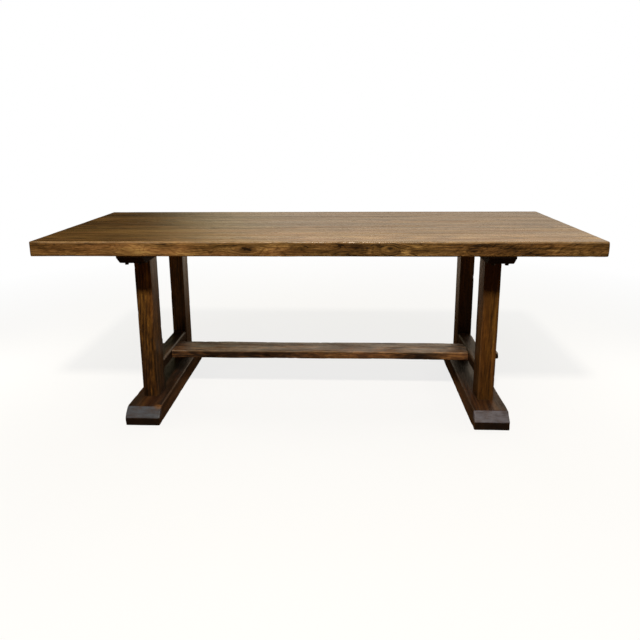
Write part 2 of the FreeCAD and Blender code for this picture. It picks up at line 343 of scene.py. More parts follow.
# Pores: where in the noise their rims lie, and how much weaker they are in late wood
PORE_RIM = (0.34, 0.44)
LATE_LOSS = 0.6

# Figure of the front edge: its depth, and where along X it gains life and slant
FIGURE_DEPTH = (0.004, 0.030)
LIVELY_RISE = (-0.8, 0.5)
LIVELY_LEFT = 0.65
SLANT_RISE = (0.60, 1.10)
SLANT = -0.20
CURL_MIDDLE = 0.54

# Dark lines in that figure: how many over their field, how wide and dark, and a knot's lift
LINE_COUNT = 9.0
LINE_WIDTH = 0.20
LINE_TONE = -0.19
KNOT_LIFT = 0.28

# How far the rims of blots stray along X and Z
STRAY = (0.08, 0, 0.026)

# Where redness, wear and rubbing, partly a painted highlight, and dust, partly a painted sheen, begin and are
# full
RED_RISE = (0.42, 0.62)
WEAR_AND_HIGHLIGHT_RISE = (0.45, 0.95)
RUB_AND_HIGHLIGHT_RISE = (0.35, 0.70)
DUST_AND_SHEEN_RISE = (0.36, 0.62)
DUST_AND_SHEEN_LEAST = 0.45

# How dark pores and dirt are, and how much duller the wax is in bands, pores and end grain
PORE_DARK = 0.5
DIRT_DARK = 0.8
SMEAR_RISE = (0.3, 0.7)
SMEAR_DULL = 0.07
PORE_DULL = 0.2
END_DULL = 0.25

# Height of the relief, and the parts of fibres and pores in it
RELIEF = 0.0003
FIBRE_RELIEF = 0.5
PORE_RELIEF = -2.0


def add(tree, kind, inputs=(), out=0, ramp=(), **settings):
    """Adds a node with its settings, its values or links and the colours of its ramp, and gives an output.

    A Mix node takes its two colours at inputs 6 and 7 and gives the mixed one at output 2."""
    node = tree.nodes.new("ShaderNode" + kind)
    for key, value in settings.items():
        setattr(node, key, value)
    for key, value in inputs.items() if isinstance(inputs, dict) else enumerate(inputs):
        if isinstance(value, bpy.types.NodeSocket):
            tree.links.new(value, node.inputs[key])
        else:
            node.inputs[key].default_value = value
    for i, (place, colour) in enumerate(ramp):
        stops = node.color_ramp.elements
        stop = stops[i] if i < len(stops) else stops.new(place)
        stop.position, stop.color = place, colour
    return node.outputs[out] if len(node.outputs) else None


def new_material(name):
    """A material with nothing in its node tree."""
    material = bpy.data.materials.new(name)
    material.use_nodes = True
    material.node_tree.nodes.clear()
    return material, material.node_tree


def around(tree, place, spot, reach, fall):
    """Places counted from a spot in shares of its reach, and a share that falls from 1 there to 0 at the
    rim."""
    local = add(tree, "Mapping", {"Vector": place, "Location": spot, "Scale": reach}, vector_type="TEXTURE")
    return local, add(tree, "TexGradient", [local], "Fac", gradient_type=fall)


def past_knots(tree, place, knots):
    """Places moved away from each knot's middle, less towards its rim, so that the grain parts round it."""
    moved = place
    for spot, reach, push in knots:
        local, fall = around(tree, place, spot, reach, "QUADRATIC_SPHERE")
        offset = add(tree, "VectorMath", [local, [push * part for part in reach]], operation="MULTIPLY")
        offset = add(tree, "VectorMath", {0: offset, 3: fall}, operation="SCALE")
        moved = add(tree, "VectorMath", [moved, offset], operation="ADD")
    return moved


def growth_rings(tree, grain, ring, sway):
    """Places bent by a slow noise, so that rings round the heart wander, and the rings there: dark in early
    wood, bright in late wood."""
    drift = add(tree, "VectorMath", [grain, RING_WANDER], operation="MULTIPLY")
    drift = add(tree, "TexNoise", {"Vector": drift, "Scale": 1.0, "Detail": 2.0}, "Color")
    bent = add(tree, "VectorMath", [drift, (0, sway * 2, sway * 2), grain], operation="MULTIPLY_ADD")
    rings = add(tree, "TexWave", {"Vector": bent, "Scale": RING_AT_SCALE_ONE / ring, "Distortion": 1.2,
                                  "Detail": 2.0, "Detail Scale": 1.6}, "Fac",
                wave_type="RINGS", rings_direction="X", wave_profile="SAW")
    return bent, add(tree, "ValToRGB", [rings], ramp=RING_TONES)


def fine_fibres(tree, bent, drawn):
    """Places drawn out along the grain, and the fibres there: a fine noise."""
    stretched = add(tree, "VectorMath", [bent, (1 / drawn, 1, 1)], operation="MULTIPLY")
    fibres = add(tree, "TexNoise", {"Vector": stretched, "Scale": 1 / FIBRE, "Detail": 3.0, "Roughness": 0.7})
    return stretched, fibres


def small_pores(tree, bent, late):
    """Pores: the low spots of a fine noise, 1 inside and 0 outside, fewer in the late wood."""
    place = add(tree, "VectorMath", [bent, PORES], operation="MULTIPLY")
    pores = add(tree, "TexNoise", {"Vector": place, "Scale": 1.0, "Detail": 1.0})
    pores = add(tree, "MapRange", [pores, *PORE_RIM, 1.0, 0.0])
    early = add(tree, "Math", [late, -LATE_LOSS, 1.0], operation="MULTIPLY_ADD")
    return add(tree, "Math", [pores, early], operation="MULTIPLY")


def wood_tone(tree, bent, stretched, late, fibres, streak, contrast):
    """Late wood, streaks, fibres and patches about their middles, added up by their parts and contrast."""
    streaks = add(tree, "TexNoise", {"Vector": stretched, "Scale": 1 / streak, "Detail": 4.0,
                                     "Roughness": 0.6})
    patches = add(tree, "VectorMath", [bent, PATCHES], operation="MULTIPLY")
    patches = add(tree, "TexNoise", {"Vector": patches, "Scale": 1.0, "Detail": 4.0, "Roughness": 0.6})
    tone = add(tree, "Math", [late, LATE_PART * contrast, TONE_MIDDLE - TONE_DROP * contrast],
               operation="MULTIPLY_ADD")
    for pattern, part in ((streaks, STREAK_PART), (fibres, FIBRE_PART), (patches, PATCH_PART)):
        centred = add(tree, "Math", [pattern, 0.5], operation="SUBTRACT")
        tone = add(tree, "Math", [centred, part * contrast, tone], operation="MULTIPLY_ADD")
    return tone


def figured_edge(tree, tone, place, along, bent, knots, curl):
    """The tone with the figure of the front edge, livelier and more slanting towards the right end.

    Curls are a twisted noise. Growth rings come out as thin dark lines about 10 mm apart: contours of a slow
    noise, lifted at each knot so that they close round it."""
    back = add(tree, "SeparateXYZ", [place], "Y")
    lively = add(tree, "MapRange", [along, *LIVELY_RISE, LIVELY_LEFT * curl, curl])
    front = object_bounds()[0].y
    band = add(tree, "MapRange", [back, front + FIGURE_DEPTH[0], front + FIGURE_DEPTH[1], lively, 0.0])
    slant = add(tree, "MapRange", [along, *SLANT_RISE, 0.0, SLANT])
    slant = add(tree, "CombineXYZ", {"Z": slant})
    leaning = add(tree, "VectorMath", [bent, slant], operation="ADD")
    curls = add(tree, "VectorMath", [leaning, CURLS], operation="MULTIPLY")
    curls = add(tree, "TexNoise", {"Vector": curls, "Scale": 1.0, "Detail": 3.0, "Roughness": 0.65,
                                   "Distortion": 1.8})
    curls = add(tree, "Math", [curls, CURL_MIDDLE], operation="SUBTRACT")
    tone = add(tree, "Math", [curls, band, tone], operation="MULTIPLY_ADD")

    field = add(tree, "VectorMath", [leaning, EDGE_RINGS], operation="MULTIPLY")
    field = add(tree, "TexNoise", {"Vector": field, "Scale": 1.0, "Detail": 1.0})
    for spot, reach, _ in knots:
        fall = around(tree, place, spot, reach, "SPHERICAL")[1]
        field = add(tree, "Math", [fall, KNOT_LIFT, field], operation="MULTIPLY_ADD")
    lines = add(tree, "Math", [field, LINE_COUNT], operation="MULTIPLY")
    lines = add(tree, "Math", [lines, 0.5], operation="PINGPONG")
    lines = add(tree, "MapRange", [lines, 0.0, LINE_WIDTH, LINE_TONE, 0.0])
    return add(tree, "Math", [lines, band, tone], operation="MULTIPLY_ADD")


def blotted(tree, tone, place, blots):
    """The tone with the blots added, each fading from its middle to a ragged rim."""
    ragged = add(tree, "VectorMath", [place, RAGGED], operation="MULTIPLY")
    ragged = add(tree, "TexNoise", {"Vector": ragged, "Scale": 1.0, "Detail": 3.0, "Roughness": 0.65},
                 "Color")
    ragged = add(tree, "VectorMath", [ragged, (0.5, 0.5, 0.5)], operation="SUBTRACT")
    ragged = add(tree, "VectorMath", [ragged, STRAY, place], operation="MULTIPLY_ADD")
    for spot, reach, amount in blots:
        fall = around(tree, ragged, spot, reach, "SPHERICAL")[1]
        tone = add(tree, "Math", [fall, amount, tone], operation="MULTIPLY_ADD")
    return tone


def reddened(tree, colour, bent):
    """The colour with redder places, a hand wide, where the stain was rubbed in twice."""
    red = add(tree, "VectorMath", [bent, REDNESS], operation="MULTIPLY")
    red = add(tree, "TexNoise", {"Vector": red, "Scale": 1.0, "Detail": 3.0, "Roughness": 0.6})
    red = add(tree, "MapRange", [red, *RED_RISE])
    return add(tree, "Mix", {0: red, 6: colour, 7: RED_TINT}, 2, data_type="RGBA", blend_type="MULTIPLY")


def rubbed_pale_and_highlit(tree, colour, place, rubbed_and_highlit):
    """The colour with a paler line on each worn arris, uneven where hands reach it most. The line is partly
    wear and partly a painted highlight, where light catches the rounded arris.
    """
    worn_and_highlit = add(tree, "Attribute", out="Fac", attribute_name="wear_and_highlight")
    line = add(tree, "MapRange", [worn_and_highlit, *WEAR_AND_HIGHLIGHT_RISE])
    rub = add(tree, "TexNoise", {"Vector": place, "Scale": HAND, "Detail": 3.0, "Roughness": 0.6})
    rub = add(tree, "MapRange", [rub, *RUB_AND_HIGHLIGHT_RISE, 0.5 * rubbed_and_highlit, rubbed_and_highlit])
    rub = add(tree, "Math", [line, rub], operation="MULTIPLY")
    return add(tree, "Mix", {0: rub, 6: colour, 7: linear(WORN_AND_HIGHLIGHT_COLOUR)}, 2, data_type="RGBA")


def darkened(tree, colour, pores, ended, end_dark):
    """The colour turned nearly black by the strongest of pores, end grain and dirt."""
    dark = add(tree, "Math", [pores, PORE_DARK], operation="MULTIPLY")
    ended = add(tree, "Math", [ended, end_dark], operation="MULTIPLY")
    dirt = add(tree, "Attribute", out="Fac", attribute_name="grime")
    dirt = add(tree, "Math", [dirt, DIRT_DARK], operation="MULTIPLY")
    for other in (ended, dirt):
        dark = add(tree, "Math", [dark, other], operation="MAXIMUM")
    return add(tree, "Mix", {0: dark, 6: colour, 7: linear(DARK_COLOUR)}, 2, data_type="RGBA")


def dusted_and_sheened(tree, colour, place, scuff):
    """The colour with uneven grey on scuffed places: dust, and partly a painted sheen of light from above."""
    scuffed_and_sheened = add(tree, "Attribute", out="Fac", attribute_name="scuff")
    dust_and_sheen = add(tree, "VectorMath", [place, DUST_AND_SHEEN_CELLS], operation="MULTIPLY")
    dust_and_sheen = add(tree, "TexNoise", {"Vector": dust_and_sheen, "Scale": 1.0, "Detail": 4.0, "Roughness": 0.65})
    dust_and_sheen = add(tree, "MapRange", [dust_and_sheen, *DUST_AND_SHEEN_RISE, DUST_AND_SHEEN_LEAST, 1.0])
    grey = add(tree, "Math", [scuffed_and_sheened, dust_and_sheen], operation="MULTIPLY")
    return add(tree, "Mix", {0: grey, 6: colour, 7: linear(scuff)}, 2, data_type="RGBA")


def waxed(tree, grain, pores, ended, drawn, roughness, wax, patchy):
    """Strength and roughness of the shine: strong and smooth or weak and rough in bands along the grain, and
    dull in pores and on end grain."""
    smear = add(tree, "VectorMath", [grain, (SMEAR_LENGTH / drawn, SMEAR_WIDTH, SMEAR_WIDTH)],
                operation="MULTIPLY")
    smear = add(tree, "TexNoise", {"Vector": smear, "Scale": 1.0, "Detail": 3.0})
    coat = add(tree, "MapRange", [smear, *SMEAR_RISE, wax * (1 + patchy), wax * (1 - patchy)])
    shine = add(tree, "MapRange", [smear, *SMEAR_RISE, roughness - SMEAR_DULL, roughness + SMEAR_DULL])
    shine = add(tree, "Math", [pores, PORE_DULL, shine], operation="MULTIPLY_ADD")
    return coat, add(tree, "Math", [ended, END_DULL, shine], operation="MULTIPLY_ADD")


def stained_oak(name, axes, heart, seed, stain, ring=0.0055, tilt=(0.0, 0.02, 0.0), sway=0.022, streak=0.016,
                drawn=25, contrast=1.0, roughness=0.40, wax=0.5, patchy=0.25, knots=(), blots=(), curl=0.0,
                scuff=None, fade=(0.0, 0.0), rubbed_and_highlit=0.22, end_dark=0.45):
    """Sawn and planed oak, stained dark brown and waxed.

    The growth rings turn round the heart, which leans past the piece, so that a face shows long arches. The
    stain is darkest in the pores of the early wood, the arrises are rubbed to a golden brown that partly
    paints the highlight of light on them, and the wax has an uneven shine. Pores are pits, and late wood
    stands proud.

    Tilt is the lean of the heart, ring the width of a growth ring, sway how far it wanders, streak the width
    of a streak, drawn how many times longer it is, and contrast the spread of tones. Stain runs from dark to
    light. Fade is the rise of tone per metre, and a change everywhere. Curl is the strength of the edge's
    figure, patchy the unevenness of the wax, rubbed how pale the arrises are, as wear and partly as a painted
    highlight, end_dark how dark the ends are, and scuff the colour of the toes' dust, partly a painted sheen."""
    material, tree = new_material(name)
    place = add(tree, "TexCoord", out="Object")
    along = add(tree, "SeparateXYZ", [place], axes[0])
    turn = [own + lean for own, lean in zip(GRAIN_TURNS[axes], tilt)]
    grain = add(tree, "Mapping", {"Vector": past_knots(tree, place, knots), "Location": heart,
                                  "Rotation": turn}, vector_type="TEXTURE")
    grain = add(tree, "VectorMath", [grain, (seed * GRAIN_SHIFT, 0, 0)], operation="ADD")
    bent, late = growth_rings(tree, grain, ring, sway)
    stretched, fibres = fine_fibres(tree, bent, drawn)
    pores = small_pores(tree, bent, late)

    tone = wood_tone(tree, bent, stretched, late, fibres, streak, contrast)
    if curl:
        tone = figured_edge(tree, tone, place, along, bent, knots, curl)
    if blots:
        tone = blotted(tree, tone, place, blots)
    tone = add(tree, "Math", [along, fade[0], tone], operation="MULTIPLY_ADD")
    tone = add(tree, "Math", [tone, fade[1]], operation="ADD", use_clamp=True)

    ended = add(tree, "Attribute", out="Fac", attribute_name="end")
    ramp = [(i / (len(stain) - 1), linear(shade)) for i, shade in enumerate(stain)]
    colour = reddened(tree, add(tree, "ValToRGB", [tone], ramp=ramp), bent)
    colour = rubbed_pale_and_highlit(tree, colour, place, rubbed_and_highlit)
    colour = darkened(tree, colour, pores, ended, end_dark)
    if scuff:
        colour = dusted_and_sheened(tree, colour, place, scuff)

    coat, shine = waxed(tree, grain, pores, ended, drawn, roughness, wax, patchy)
    relief = add(tree, "Math", [fibres, FIBRE_RELIEF, late], operation="MULTIPLY_ADD")
    relief = add(tree, "Math", [pores, PORE_RELIEF, relief], operation="MULTIPLY_ADD")
    bump = add(tree, "Bump", {"Height": relief, "Strength": 0.4, "Distance": RELIEF})
    shader = add(tree, "BsdfPrincipled", {"Base Color": colour, "Roughness": shine, "Normal": bump,
                                          "IOR": WAX_IOR, "Specular IOR Level": coat})
    add(tree, "OutputMaterial", {"Surface": shader})
    return material


def dress(piece, material, slot, *nodes):
    """Gives a new piece its material and body, and lets it stand for its CAD nodes. Slot is not used."""
    piece.data.materials.append(material)
    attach(piece, ROOT)
    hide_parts(*nodes)


def refinish(node, material):
    """Puts a material on a CAD node that keeps its own shape."""
    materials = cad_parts[node].data.materials
    materials.clear()
    materials.append(material)


def corners(node):
    """The lowest and highest corner of a CAD node."""
    return [np.array(corner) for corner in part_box(node)]


# Stains, from the dark of the pores to the gold of a rubbed arris
TOP_STAIN = ("#211508", "#473317", "#664c27", "#8b6c3f", "#b09257")
BASE_STAIN = ("#160b03", "#321f0c", "#4e3313", "#6c4b1d", "#926d2c")
STRETCHER_STAIN = ("#170c05", "#332112", "#4e361f", "#6c4b2b", "#926c3d")
FOOT_STAIN = ("#0e0703", "#21140a", "#342112", "#49311a", "#644626")

# Knots in the front edge of the top: place along it and up, reach, and how far the grain is pushed away
EDGE_Y = -0.456
EDGE_KNOTS = [((x, EDGE_Y, z), reach, push) for x, z, reach, push in (
    (-0.255, 0.731, (0.130, 0.060, 0.045), -1.5),
    (0.285, 0.732, (0.085, 0.060, 0.050), -1.6),
    (-0.705, 0.742, (0.070, 0.060, 0.050), -0.8),
    (0.595, 0.727, (0.060, 0.060, 0.040), -0.7),
)]

# A broad light place behind the front edge, and light and dark ones on it, with their change of tone
EDGE_BLOTS = [((0.300, -0.400, 0.762), (1.000, 0.50, 0.300), 0.16)]
EDGE_BLOTS += [((x, EDGE_Y, z), reach, change) for x, z, reach, change in (
    (-0.750, 0.733, (0.500, 0.02, 0.200), 0.34),
    (0.700, 0.733, (0.800, 0.02, 0.200), -0.11),
    (0.170, 0.733, (0.300, 0.02, 0.200), -0.10),
    (0.510, 0.733, (0.220, 0.02, 0.200), 0.07),
    (-0.868, 0.753, (0.040, 0.05, 0.005), -0.35),
    (-0.960, 0.733, (0.120, 0.05, 0.030), -0.04),
    (-0.640, 0.733, (0.070, 0.05, 0.045), 0.20),
    (-0.565, 0.751, (0.035, 0.05, 0.008), -0.45),
    (-0.510, 0.733, (0.060, 0.05, 0.045), 0.20),
    (-0.383, 0.724, (0.012, 0.05, 0.016), -0.40),
    (-0.330, 0.747, (0.060, 0.05, 0.006), -0.35),
    (-0.256, 0.732, (0.045, 0.05, 0.018), -0.35),
    (-0.252, 0.734, (0.024, 0.03, 0.009), -0.75),
    (-0.150, 0.733, (0.060, 0.05, 0.040), 0.18),
    (-0.050, 0.738, (0.070, 0.05, 0.016), -0.35),
    (-0.030, 0.746, (0.012, 0.03, 0.009), -0.60),
    (0.100, 0.746, (0.012, 0.03, 0.012), -0.80),
    (0.160, 0.738, (0.085, 0.05, 0.028), -0.30),
    (0.212, 0.722, (0.022, 0.05, 0.012), 0.30),
    (0.247, 0.747, (0.016, 0.03, 0.010), -0.40),
    (0.267, 0.727, (0.026, 0.05, 0.014), 0.12),
    (0.296, 0.737, (0.045, 0.05, 0.022), -0.30),
    (0.346, 0.722, (0.018, 0.05, 0.020), 0.55),
    (0.380, 0.712, (0.020, 0.03, 0.008), -0.80),
    (0.390, 0.741, (0.030, 0.05, 0.012), 0.25),
    (0.592, 0.730, (0.040, 0.04, 0.028), -0.24),
    (0.640, 0.747, (0.080, 0.05, 0.010), -0.50),
    (0.740, 0.736, (0.060, 0.05, 0.012), -0.35),
    (0.810, 0.717, (0.060, 0.05, 0.010), -0.35),
    (1.045, 0.735, (0.050, 0.05, 0.030), -0.15),
)]

# The top's arrises at the seams and below are rubbed less than the outer upper ones, and carry less of the
# painted highlight
SEAM_WEAR_AND_HIGHLIGHT = 0.3
LOWER_WEAR_AND_HIGHLIGHT = 0.15

# The boards of the top, from the front, and where the middle of the tree lay for each
BOARDS = ("front", "narrow", "wide", "rear")
BOARD_HEARTS = ((0.3, -0.34, 0.60), (0.0, -0.05, 0.66), (-0.2, 0.14, 0.58), (0.5, 0.34, 0.65))
# The boards' arrises are rubbed strongly pale, partly as a painted highlight along the front arris
BOARD_WOOD = {"tilt": (0, 0.03, 0.01), "streak": 0.009, "drawn": 40, "patchy": 0.45, "rubbed_and_highlit": 0.5,
              "roughness": 0.30}

# The boards' rise of tone to the right, the front one's change and how much darker the next ones are
BOARD_RISE = 0.07
BOARD_CHANGE = -0.02
BOARD_STEP = 0.04
EDGE_FIGURE = {"knots": EDGE_KNOTS, "blots": EDGE_BLOTS, "curl": 1.15}

# Heart of the stretcher, light and dark lengths of its front face, its pale upper face, which is a painted
# sheen and painted light, and its dark right end
STRETCHER_HEART = (0.1, 0.02, 0.10)
STRETCHER_BLOTS_AND_PAINTED_SHEEN = [((x, -0.0645, 0.173), (reach, 0.012, 0.06), change) for x, reach, change in (
    (-0.470, 0.320, -0.55),
    (0.080, 0.300, 0.14),
    (0.445, 0.100, -0.60),
    (0.615, 0.080, 0.28),
)]
STRETCHER_BLOTS_AND_PAINTED_SHEEN += [
    # Painted sheen and light: the upper face is lifted to stand for the wax's sheen and the key's light on it
    ((0.000, 0.0100, 0.190), (0.900, 0.070, 0.03), 0.40),
    ((0.800, -0.0500, 0.172), (0.080, 0.060, 0.06), -0.60),
]

# Left posts with livelier grain and pale heads; on the right, painted light on the front post's lit length
# and painted shade on the rear post's front face
POST_HEART = (0.03, 0.09)
POST_WOOD = (
    {"sway": 0.012, "streak": 0.009, "drawn": 7, "contrast": 1.4, "fade": (0.75, -0.38), "blots": ()},
    {"sway": 0.008, "streak": 0.006, "drawn": 14, "contrast": 0.9, "fade": (0.20, -0.17), "blots": (
        # Painted light where the key falls on the right front post, and painted shade on the right rear
        # post's front face
        ((0.7045, -0.303, 0.38), (0.15, 0.10, 0.20), 0.20),
        ((0.7045, 0.203, 0.30), (0.10, 0.06, 0.25), -0.30),
    )},
)

# The wax on the front and the rear post of each side
POST_WAX = ((0.40, 0.85), (0.24, 0.50))


def make_top():
    """The four boards of the top. Their seams are eased less than their outer arrises and hold dirt."""
    shape, wood = SEEDS["board"]
    for i, (name, heart) in enumerate(zip(BOARDS, BOARD_HEARTS)):
        node = "top_board_" + name
        low, high = corners(node)
        first, last = i == 0, i == len(BOARDS) - 1
        front = TOP_ARRIS if first else SEAM_ARRIS
        rear = TOP_ARRIS if last else SEAM_ARRIS
        piece = timber(node + "_oak", ALONG_X, low, high, (rear, front, front, rear), TOP_ARRIS, shape + i,
                       end_sides=(first, last, 1, 1), waviness=0.00025, dents=26 if first else 8,
                       worn_and_highlit=(1 if last else SEAM_WEAR_AND_HIGHLIGHT, 1 if first else SEAM_WEAR_AND_HIGHLIGHT, LOWER_WEAR_AND_HIGHLIGHT, LOWER_WEAR_AND_HIGHLIGHT),
                       grimy=([] if first else [1]) + ([] if last else [0]))
        fade = (BOARD_RISE, BOARD_CHANGE - BOARD_STEP * i)
        material = stained_oak("waxed_oak_board_" + name, ALONG_X, heart, wood + i, TOP_STAIN, fade=fade,
                               **BOARD_WOOD, **(EDGE_FIGURE if first else {}))
        dress(piece, material, "top_wood", node)


def make_posts():
    """The four posts, from the top of a foot to the underside of a bearer."""
    shape, wood = SEEDS["post"]
    for i, side in enumerate(SIDES):
        for j, place in enumerate(("front", "rear")):
            node = side + "_" + place + "_post"
            low, high = corners(node)
            low[2], high[2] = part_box(side + "_sledge_foot")[1].z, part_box(side + "_bearer")[0].z
            count = 2 * i + j
            radii = (POST_ARRIS,) * 4
            piece = timber(node + "_oak", ALONG_Z, low, high, radii, BUTTED_END, shape + count, dents=10)
            middle = (low + high) / 2
            heart = (middle[0] + POST_HEART[0] * (1 - 2 * i), middle[1] + POST_HEART[1], 0)
            name = "waxed_oak_post_%s_%s" % (side, place)
            material = stained_oak(name, ALONG_Z, heart, wood + count, BASE_STAIN, ring=0.0045,
                                   tilt=(0, 0.02, 0.01), rubbed_and_highlit=0.06, wax=POST_WAX[i][j], **POST_WOOD[i])
            dress(piece, material, "base_wood", node)


def sloped_depth(reach, run, lip, full, softness):
    """The depth left at a distance from a timber's end: a lip, then a straight slope up to the full depth,
    with the break softened."""
    rise = lip + (full - lip) * reach / run
    return full - softness * np.logaddexp(0, (full - rise) / softness)


# The grey on the left and right toes, dust and partly a painted sheen of light from above, its spread and
# fading, and a chipped corner of the left foot
TOE_DUST_AND_SHEEN = ("#434751", "#5c5b66")
DUST_AND_SHEEN_SPREAD = 0.001
DUST_AND_SHEEN_FADE = 0.002
CHIP_RADIUS = 0.017
CHIPPED_CORNER = ((-0.643, -0.403, 0.066), (0.024, 0.022, 0.016), 1.2)

# A dark place on each foot's upper face between the posts, and a pale one low on each flank that is painted
# light thrown up by the floor: reach and change of tone
FOOT_TOP_BLOT = ((0.15, 0.30, 0.05), -0.60)
FLANK_PAINTED_BOUNCE = ((0.030, 0.50, 0.060), 0.65)
FLANK_PAINTED_BOUNCE_HEIGHT = 0.028

# The feet's hearts lie past their middle and below the floor, the bearers' above them, the rails' below them
FOOT_HEART = (0.02, -0.06)
BEARER_HEART = 0.05
RAIL_HEART = -0.05
WEDGE_HEART = (0.7, 0.05)

# The bearers are nowhere thinner
LEAST_DEPTH = 0.002


def make_feet():
    """The sledge feet, whose height drops at the toes to a sloped face that shoes have scuffed grey; the grey
    is partly a painted sheen of light from above.
    """
    shape, wood = SEEDS["foot"]
    radii = (FOOT_ARRIS, HIDDEN_ARRIS, HIDDEN_ARRIS, FOOT_ARRIS)
    for i, side in enumerate(SIDES):
        node = side + "_sledge_foot"
        low, high = corners(node)
        full, half = high[2] - low[2], (high[1] - low[1]) / 2

        def slope(points):
            """Heights cut down to the depth that is left there."""
            depth = sloped_depth(half - np.abs(points[..., 1]), TOE_RUN, TOE_HEIGHT, full, TOE_SOFTNESS)
            points[..., 2] = np.maximum(points[..., 2] * np.clip(depth, 0, full) / full, 0)
            return points

        def scuffed_and_sheened(points):
            """Dust, partly a painted sheen, on the sloped face of the toe, but not on the chipped corner."""
            reach = half - np.abs(points[..., 1])
            edge = np.minimum(TOE_RUN + DUST_AND_SHEEN_SPREAD - reach, points[..., 2] - TOE_HEIGHT + DUST_AND_SHEEN_SPREAD)
            gap = np.linalg.norm(points - CHIPPED_CORNER[0], axis=-1)
            chipped = np.exp(-(gap / CHIP_RADIUS) ** 2)
            return {"scuff": np.clip(edge / DUST_AND_SHEEN_FADE, 0, 1) * (reach > 0) * (1 - chipped)}

        piece = timber(node + "_oak", ALONG_Y, low, high, radii, FOOT_ARRIS, shape + i,
                       end_sides=(0, 1, 1, 1), flat=0.5, bend=slope, marks=scuffed_and_sheened, dents=40,
                       waviness=0.0009, close=(TOE_RUN,))
        middle = (low[0] + high[0]) / 2
        blots = [((middle, 0, full), *FOOT_TOP_BLOT)]
        # Painted light low on both flanks, standing for light thrown up by the floor
        blots += [((flank, 0, FLANK_PAINTED_BOUNCE_HEIGHT), *FLANK_PAINTED_BOUNCE) for flank in (low[0], high[0])]
        if i == 0:
            blots.append(CHIPPED_CORNER)
        heart = (middle + FOOT_HEART[0], 0, FOOT_HEART[1])
        material = stained_oak("scuffed_sheened_oak_foot_" + side, ALONG_Y, heart, wood + i, FOOT_STAIN, ring=0.006,
                               sway=0.015, scuff=TOE_DUST_AND_SHEEN[i], roughness=0.42, wax=0.2, end_dark=0.76,
                               fade=(0, -0.07), rubbed_and_highlit=0.05, blots=blots)
        dress(piece, material, "base_wood", node)


def make_bearers():
    """The bearers, whose thickness falls away below at both ends."""
    shape, wood = SEEDS["bearer"]
    radii = (HIDDEN_ARRIS, BEARER_ARRIS, BEARER_ARRIS, HIDDEN_ARRIS)
    for i, side in enumerate(SIDES):
        node = side + "_bearer"
        low, high = corners(node)
        full, half, roof = high[2] - low[2], (high[1] - low[1]) / 2, high[2]

        def slope(points):
            """Depths under the roof cut down to what is left there."""
            depth = sloped_depth(half - np.abs(points[..., 1]), BEARER_RUN, BEARER_LIP, full, BEARER_SOFTNESS)
            points[..., 2] = roof - (roof - points[..., 2]) * np.clip(depth, LEAST_DEPTH, full) / full
            return points

        piece = timber(node + "_oak", ALONG_Y, low, high, radii, BEARER_ARRIS, shape + i,
                       end_sides=(1, 0, 1, 1), bend=slope, dents=6, close=(BEARER_RUN,))
        heart = ((low[0] + high[0]) / 2, 0, roof + BEARER_HEART)
        # The tone is lowered all over as painted shade, for the bearers lie in the top's shadow
        material = stained_oak("raw_oak_bearer_" + side, ALONG_Y, heart, wood + i, FOOT_STAIN, roughness=0.7,
                               wax=0.15, fade=(0, -0.35), rubbed_and_highlit=0.05)
        dress(piece, material, "base_wood", node)


def make_rails():
    """The cross rails, from post to post, with a broad chamfer along each upper arris."""
    shape, wood = SEEDS["rail"]
    radii = (RAIL_CHAMFER, RAIL_ARRIS, RAIL_ARRIS, RAIL_CHAMFER)
    for i, side in enumerate(SIDES):
        node = side + "_cross_rail"
        low, high = corners(node)
        low[1], high[1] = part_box(side + "_front_post")[1].y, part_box(side + "_rear_post")[0].y
        piece = timber(node + "_oak", ALONG_Y, low, high, radii, BUTTED_END, shape + i, flat=0.85, dents=5)
        heart = ((low[0] + high[0]) / 2, 0, low[2] + RAIL_HEART)
        # The tone is lowered all over as painted shade, for the rails lie low under the top between the posts
        material = stained_oak("waxed_oak_rail_" + side, ALONG_Y, heart, wood + i, FOOT_STAIN, contrast=1.4,
                               wax=0.2, fade=(0, -0.22), rubbed_and_highlit=0.06)
        dress(piece, material, "base_wood", node)


def make_stretcher():
    """The stretcher: a flat board between the rails that steps in to a tenon at each end."""
    shape, wood = SEEDS["stretcher"]
    low, high = corners("stretcher")
    half = (high - low) / 2
    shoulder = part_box("right_cross_rail")[0].x + SHOULDER_RUN

    def step_in(s):
        """Full size between the shoulders, and the tenon's share beyond them, straight across the step."""
        beyond = np.clip((np.abs(s - half[0]) - shoulder) / SHOULDER_RUN + 0.5, 0, 1)
        return 1 - beyond * TENON_SIDE_SHOULDER / half[1], 1 - beyond * TENON_SHOULDER / half[2]

    piece = timber("stretcher_oak", ALONG_X, low, high, (STRETCHER_ARRIS,) * 4, TENON_ARRIS, shape,
                   flat=0.3, dents=60, waviness=0.0012, narrow=step_in, worn_and_highlit=(0.5, 1, 0.2, 0.2),
                   close=(half[0] - shoulder - SHOULDER_RUN, half[0] - shoulder + SHOULDER_RUN))
    material = stained_oak("waxed_oak_stretcher", ALONG_X, STRETCHER_HEART, wood, STRETCHER_STAIN,
                           ring=0.006, streak=0.008, drawn=6, tilt=(0, 0.03, 0), contrast=1.7, wax=0.65,
                           patchy=0.8, blots=STRETCHER_BLOTS_AND_PAINTED_SHEEN, fade=(0, -0.06), rubbed_and_highlit=0.35)
    dress(piece, material, "base_wood", "stretcher")


